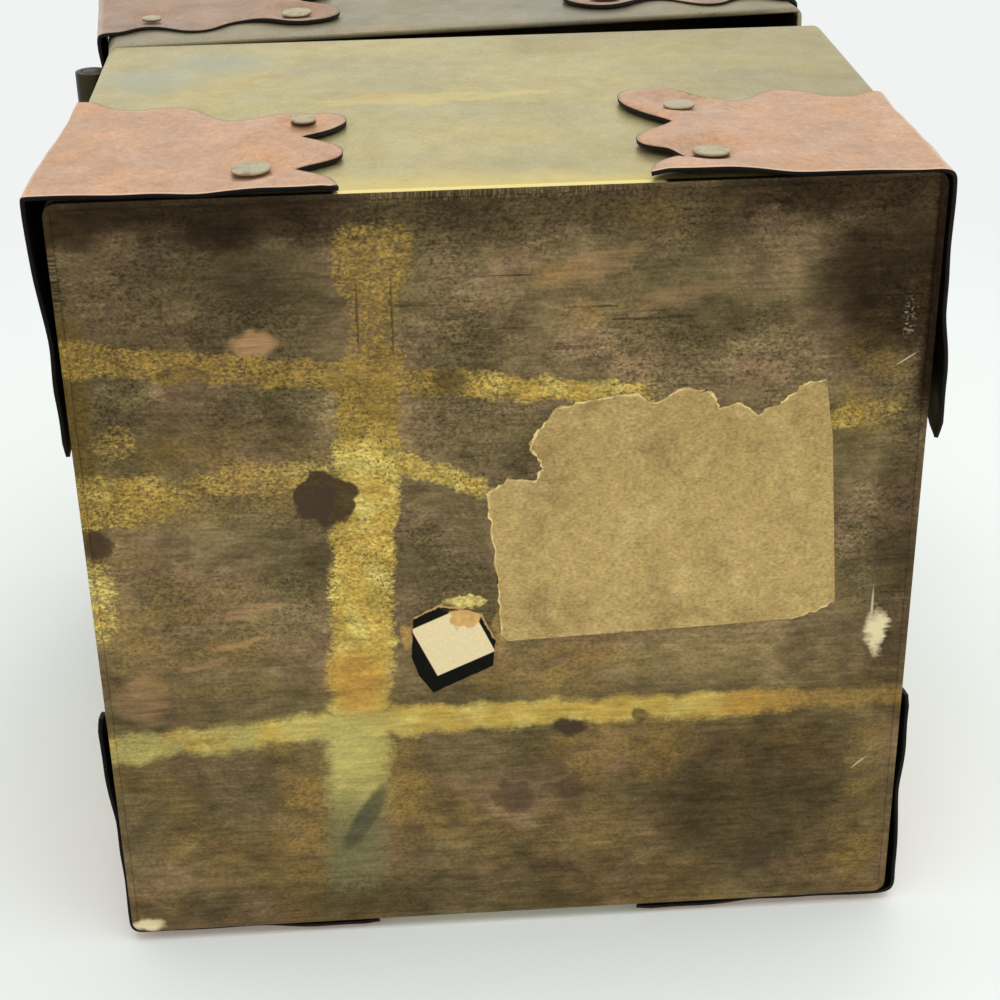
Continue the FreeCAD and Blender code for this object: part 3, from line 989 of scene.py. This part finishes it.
# Insets of the hammered head, and how far each rises.
head_steps = ((0.3 * MM, 0.06 * MM), (0.9 * MM, 0.03 * MM))
peen_radius = 1.5 * MM
peen_height = 0.25 * MM
peen_edge = 0.12 * MM
most_lean = 2.5
most_oval = 0.05


def rivet_brass():
    """Dull olive brass, scuffed on its flat faces and dark on its sides as painted shade with some
    grime.
    """
    olive = colour(190, 178, 146)
    dark = colour(96, 80, 54)
    grime_and_shade = colour(40, 30, 20)
    material, shader, place = finish("rivet_brass")
    tint = mix(olive, dark, ramp(cloud(place, 1.6, 4), 0.5, 0.72) * 0.45)
    tint = vary(tint, cloud(place, 0.4, 3, seed=4), 0.5)
    # Dark round the sides of the heads: painted shade with some grime.
    tint = mix(tint, grime_and_shade, ramp(note(place, "side"), 0.3, 0.9) * 0.8)
    roughness = (cloud(place, 1.0, 3, seed=2) - 0.5) * 0.3 + 0.4
    feed(shader, tint, roughness, relief(cloud(place, 0.8, 3, seed=7), 0.08), metallic=0.75)
    return material


def disc(sides, radius, height, middle):
    """A round disc on the Z axis, with its place in its mesh."""
    bpy.ops.object.select_all(action="DESELECT")
    bpy.ops.mesh.primitive_cylinder_add(
        vertices=sides, radius=radius, depth=height, location=(0, 0, middle)
    )
    bpy.ops.object.transform_apply(location=True, rotation=True, scale=True)
    return bpy.context.object


def rivet_shape():
    """One rivet with its seat at z = 0 and its head above. The attribute side is 1 round the
    side of the head."""
    piece = disc(28, head_radius, head_height, head_height / 2)
    pick(piece, "FACE", piece.data.polygons, lambda face: face.normal.z > 0.5)
    for width, rise in head_steps:
        bpy.ops.mesh.inset(thickness=width)
        bpy.ops.transform.translate(value=(0, 0, rise))
    switch("OBJECT")
    ease_edges(piece, head_edge)
    grip = copper_sheet + wall_sheet
    peen = disc(20, peen_radius, peen_height, -grip - peen_height / 2)
    ease_edges(peen, peen_edge)
    select_only(piece)
    peen.select_set(True)
    bpy.ops.object.join()
    carry(piece, "side", [float(point.co.z < head_height * 0.6) for point in piece.data.vertices])
    return piece


def wing_rivets(name, model, body, corner, place, draw):
    """The rivets of one mount as one mesh, each a copy that is never quite round or level."""
    mirror = Matrix(((0, 1, 0, 0), (1, 0, 0, 0), (0, 0, 1, 0), (0, 0, 0, 1)))
    made = []
    for wing in (0, 1):
        for u, v, size in rivets_of(body, corner, wing):
            lean = Matrix.Rotation(math.radians(draw.uniform(-most_lean, most_lean)), 4, "X")
            lean = lean @ Matrix.Rotation(math.radians(draw.uniform(-most_lean, most_lean)), 4, "Y")
            lean = lean @ Matrix.Rotation(draw.uniform(0, 6), 4, "Z")
            widths = [size * draw.uniform(1 - most_oval, 1 + most_oval) for _ in range(2)]
            shape = Matrix.Diagonal((*widths, 1, 1))
            seat = Vector((u * wing_reach, head_sink - copper_sheet, edge_margin + v * wing_rise))
            stand = Matrix.Translation(seat) @ Matrix.Rotation(math.pi / 2, 4, "X") @ lean @ shape
            rivet = copy_of(model, name)
            rivet.data.transform(mirror @ stand if wing else stand)
            if wing:
                rivet.data.flip_normals()
            made.append(rivet)
    select_only(made[0])
    for rivet in made[1:]:
        rivet.select_set(True)
    bpy.ops.object.join()
    group = bpy.context.object
    group.data.transform(place)
    smooth(group)
    return group


rivet_metal = rivet_brass()
model_rivet = rivet_shape()
draw = random.Random(7)
for corner in turns:
    for body, place in (("body", corner_place(corner)), ("lid", lid_place(corner))):
        name = f"{body}_rivet_heads_{corner}"
        heads = wing_rivets(name, model_rivet, body, corner, place, draw)
        dress(heads, rivet_metal, body, "rivet_brass", f"{body}_rivets_{corner}")
bpy.data.objects.remove(model_rivet)

# Paper label
# The remains of a brown paper label, glued to the base. Its top and its left side are torn,
# with a pale frayed edge, and its other sides are cut straight.

label_low, label_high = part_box("paper_label")
label_cell = 1.2 * MM
tear_seed = 11
label_fray = 0.42 * MM
frayed_width = 1.5 * MM
cut_wander = 0.05 * MM
# Corners in millimetres, and whether the run to the next is torn.
label_corners = (
    (8.1, 0.9, 0), (7.2, -26.3, 0), (6.8, -35.3, 1), (6.1, -37.7, 1), (4.8, -40.5, 0), (-18.0, -38.8, 0),
    (-25.5, -37.6, 1), (-25.1, -35.0, 1), (-23.4, -33.3, 1), (-22.4, -31.8, 1), (-21.3, -29.7, 1),
    (-22.9, -27.7, 1), (-22.5, -25.2, 1), (-24.5, -24.2, 1), (-25.0, -20.9, 1), (-24.3, -19.3, 1),
    (-23.4, -17.7, 1), (-24.5, -15.3, 1), (-24.4, -12.3, 1), (-23.9, -9.4, 1), (-23.2, -6.1, 1),
    (-21.5, -4.6, 1), (-18.7, -2.7, 1), (-16.2, -4.0, 1), (-14.9, -4.3, 1), (-13.9, -3.4, 1),
    (-14.4, -0.7, 1), (-13.6, 0.9, 1), (-12.2, 2.3, 1), (-9.8, 2.1, 1), (-4.6, 1.6, 1), (2.5, 1.1, 1),
)


def paper_sheet(name, corners, low, high, pitch, fray):
    """A paper with torn runs in its outline, on the base between two levels. The attribute torn
    is how far, in millimetres, each point lies from a torn run, and rim how far from any."""
    knots = [(x * MM, y * MM, "sharp") for x, y, _ in corners]
    sheet, runs = flat_sheet(name, knots, 1, 6)
    torn_runs = [
        (Vector((*start[:2], 0)) * MM, Vector((*end[:2], 0)) * MM)
        for start, end in zip(corners, corners[1:] + corners[:1])
        if start[2]
    ]
    for axis in range(2):
        ends = [start[axis] for start, end in runs]
        cut_into_cells(sheet, axis, steps(min(ends), max(ends), pitch))
    torn, rim = [], []
    for point in sheet.data.vertices:
        flat = point.co.copy()
        gap = gap_to_runs(flat, torn_runs)
        torn.append(gap / MM)
        rim.append(gap_to_runs(flat, runs) / MM)
        loose = 1 - ease(gap / frayed_width)
        shift = noise.noise_vector(flat / (1.1 * MM)) + 0.6 * noise.noise_vector(flat / (0.4 * MM))
        point.co += Vector((shift.x, shift.y, 0)) * (cut_wander + fray * loose)
        point.co.z = high.z
    carry(sheet, "torn", torn)
    carry(sheet, "rim", rim)
    if sheet.data.polygons[0].normal.z > 0:
        sheet.data.flip_normals()
    apply(sheet, "SOLIDIFY", thickness=high.z - low.z, offset=1, use_even_offset=True)
    smooth(sheet)
    return sheet


def label_paper():
    """Brown paper: fibres, soft stains and a pale torn edge."""
    tan = colour(172, 147, 92)
    dark = colour(120, 97, 58)
    pale = colour(194, 170, 114)
    frayed = colour(226, 204, 138)
    material, shader, place = finish("label_paper")
    fibres = cloud(place, 0.3, 3, (0.9, 0.6, 1))
    x = axes(place)[0]
    dim = ramp(cloud(place, 8, 5, seed=3), 0.48, 0.74) * 0.55 + ramp(x, -4, -22) * 0.22
    tint = mix(tan, dark, dim)
    tint = mix(tint, pale, ramp(cloud(place, 6, 4, seed=8), 0.5, 0.72) * 0.4)
    tint = vary(tint, cloud(place, 1.2, 4, (1, 0.7, 1), 5), 0.7)
    tint = vary(tint, fibres, 1.2)
    tint = mix(tint, dark, ramp(cloud(place, 0.36, 2, (0.8, 0.6, 1), 11), 0.6, 0.7) * 0.4)
    fringe = ramp(note(place, "torn") + (fibres - 0.5) * 0.6, 0.3, 0.1)
    fringe = fringe * (ramp(cloud(place, 1.6, 3, seed=15), 0.38, 0.6) * 0.7 + 0.2)
    tint = mix(tint, frayed, fringe)
    # Dark along the very edge and the sides of the paper: painted shade.
    tint = mix(tint, dark, ramp(note(place, "rim"), 0.08, 0.0) * 0.6)
    feed(shader, tint, 0.85, relief(fibres, 0.04), gloss=0.2)
    return material


# A fixed seed, so that the papers tear the same way in every run.
noise.seed_set(tear_seed)
label = paper_sheet("torn_label", label_corners, label_low, label_high, label_cell, label_fray)
dress(label, label_paper(), "body", "label_paper", "paper_label")

# Small sticker
# A black paper octagon with a plain cream panel, stuck on askew beside the label. One corner
# is torn back to tan paper, with old glue round it.

sticker_low, sticker_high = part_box("small_sticker")
sticker_cell = 0.7 * MM
sticker_fray = 0.15 * MM
sticker_corners = (
    (4.1, 11.5, 1), (2.4, 8.1, 1), (2.7, 7.4, 1), (4.0, 3.1, 1), (7.6, 1.6, 0), (11.5, 1.9, 0),
    (15.0, 9.4, 0), (12.4, 11.1, 0), (9.8, 11.9, 0),
)


def sticker_paper():
    """Black border, cream panel and a torn tan corner."""
    black = colour(19, 20, 15)
    cream = colour(216, 198, 154)
    tan = colour(196, 156, 96)
    brown = colour(58, 36, 22)
    material, shader, place = finish("sticker_paper")
    x, y = axes(place)[:2]
    fibres = cloud(place, 0.5, 3)
    slant = math.radians(-24)
    x_off, y_off = x - 8.2, y - 7.0
    across = x_off * math.cos(slant) + y_off * math.sin(slant)
    up = y_off * math.cos(slant) - x_off * math.sin(slant)
    panel = ramp(abs(across + 0.45), 3.8, 3.65) * ramp(abs(up + 0.5), 4.0, 3.85)
    tint = mix(black, vary(cream, fibres, 0.25), panel)
    wander = (cloud(place, 1.5, 3, seed=4) - 0.5) * 2
    bare = spot(x + wander, y + wander, (3.8, 5.2), (2.2, 2.0), 0.15)
    tint = mix(tint, vary(tan, cloud(place, 0.8, 3, seed=2), 0.9), bare)
    # A painted shadow in dark brown along the top of the torn corner.
    tint = mix(tint, brown, ramp(x + wander * 0.4 - (y - 5) * 0.12, 3.4, 3.0) * ramp(y, 8.2, 7.6))
    tint = mix(tint, tan, ramp(note(place, "torn") + (fibres - 0.5) * 0.4, 0.3, 0.1) * 0.8)
    feed(shader, tint, 0.7, relief(fibres, 0.03), gloss=0.2)
    return material


sticker = paper_sheet(
    "octagon_sticker", sticker_corners, sticker_low, sticker_high, sticker_cell, sticker_fray
)
dress(sticker, sticker_paper(), "body", "sticker_paper", "small_sticker")

# Stage
# The box lies on its right wall in the photographed view, so that one pale floor lies under
# that wall. Another lies under the base for the other views. Each is seen from above only.

floor_tint = colour(218, 221, 219)
floor_reach = 0.34
floor_gap = 0.2 * MM
# In millimetres: where the floor fades out, and the opening under the right wall.
fade_from, fade_to = 150, 330
open_y = (-43, 43)
open_z = (7.5, 105)
open_soft = 1.5


def shown_rays(wire):
    """1 for rays from the camera, and for those that gloss or glass sends on."""
    kinds = ("Camera", "Glossy", "Transmission")
    rays = [wire.node("LightPath", {}, {}, f"Is {kind} Ray") for kind in kinds]
    return rays[0] | rays[1] | rays[2]


def floor_paint():
    """White, lit and shadowed, for rays that meet its upper side; clear for all others. Under the
    right wall it is open, so that the wall gets light in the views that show it."""
    material, _, place = finish("floor_paint")
    tree = material.node_tree
    behind = place.node("NewGeometry", {}, {}, "Backfacing")
    far = place.node("VectorMath", {"operation": "LENGTH"}, {0: place}, "Value")
    y, z = axes(place)[1:]
    covered = between(y, *open_y, open_soft) * between(z, *open_z, open_soft)
    shown = shown_rays(place) * (1 - behind) * ramp(far, fade_to, fade_from) * (1 - covered)
    clear = place.node("BsdfTransparent", {}, {})
    white = place.node("BsdfDiffuse", {}, {"Color": floor_tint})
    both = place.node("MixShader", {}, {0: shown, 1: clear, 2: white})
    tree.links.new(both.socket, tree.nodes["Material Output"].inputs["Surface"])
    return material


paint = floor_paint()
lowest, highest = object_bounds()
for name, turn, place in (
    ("floor_beside", Matrix.Rotation(-math.pi / 2, 4, "Y"), Vector((highest[0] + floor_gap, 0, 0))),
    ("floor_below", Matrix.Identity(4), Vector((0, 0, lowest[2] - floor_gap))),
):
    bpy.ops.object.select_all(action="DESELECT")
    bpy.ops.mesh.primitive_plane_add(size=2 * floor_reach)
    floor = bpy.context.object
    floor.name = name
    floor.data.transform(Matrix.Translation(place) @ turn)
    floor.data.materials.append(paint)

world = bpy.data.worlds.new("studio")
bpy.context.scene.world = world
world.use_nodes = True
sky = Wire(world.node_tree, None)
seen = shown_rays(sky)
towards = axes(sky.node("TexCoord", {}, {}, "Generated"))
lit = ramp(towards[2] * 0.8 - towards[0] * 0.7, -0.9, 0.6) * 0.25 + 0.7
glow = world.node_tree.nodes["Background"]
glow.inputs["Color"].default_value = colour(240, 243, 242)
world.node_tree.links.new((seen + (1 - seen) * lit).socket, glow.inputs["Strength"])


def lamp(name, place, aim, width, power):
    """A square soft lamp at a place, turned to a point, that no surface mirrors."""
    light = bpy.data.lights.new(name, "AREA")
    light.size = width
    light.energy = power
    holder = bpy.data.objects.new(name, light)
    holder.location = place
    holder.rotation_euler = (Vector(aim) - Vector(place)).to_track_quat("-Z", "Y").to_euler()
    holder.visible_glossy = False
    bpy.context.scene.collection.objects.link(holder)


lamp("key", (-0.9, -0.05, -0.15), (0, 0, 0.04), 0.8, 5.0)
lamp("fill", (-0.2, 0.1, -0.9), (0, 0, 0.04), 0.8, 4.0)
lamp("top", (-0.15, -0.3, 0.9), (0, 0, 0.05), 0.8, 4.0)

# Camera
# The lens and the place come from the edges of the base and of the upward wall in the photo.
# It looks up at the base from beside the box.

camera_data = bpy.data.cameras.new("camera")
camera_data.sensor_width = 36
camera_data.lens = 70.94
camera = bpy.data.objects.new("camera", camera_data)
camera_place = Vector((-118.71, 13.08, -206.92)) * MM
right = Vector((0.0153, -0.9976, -0.0676))
down = Vector((0.8882, 0.0446, -0.4574))
forward = Vector((0.4593, -0.0531, 0.8867))
turn = Matrix((right, -down, -forward)).transposed().to_4x4()
camera.matrix_world = Matrix.Translation(camera_place) @ turn
bpy.context.scene.collection.objects.link(camera)
bpy.context.scene.camera = camera
bpy.context.scene.view_settings.view_transform = "Standard"
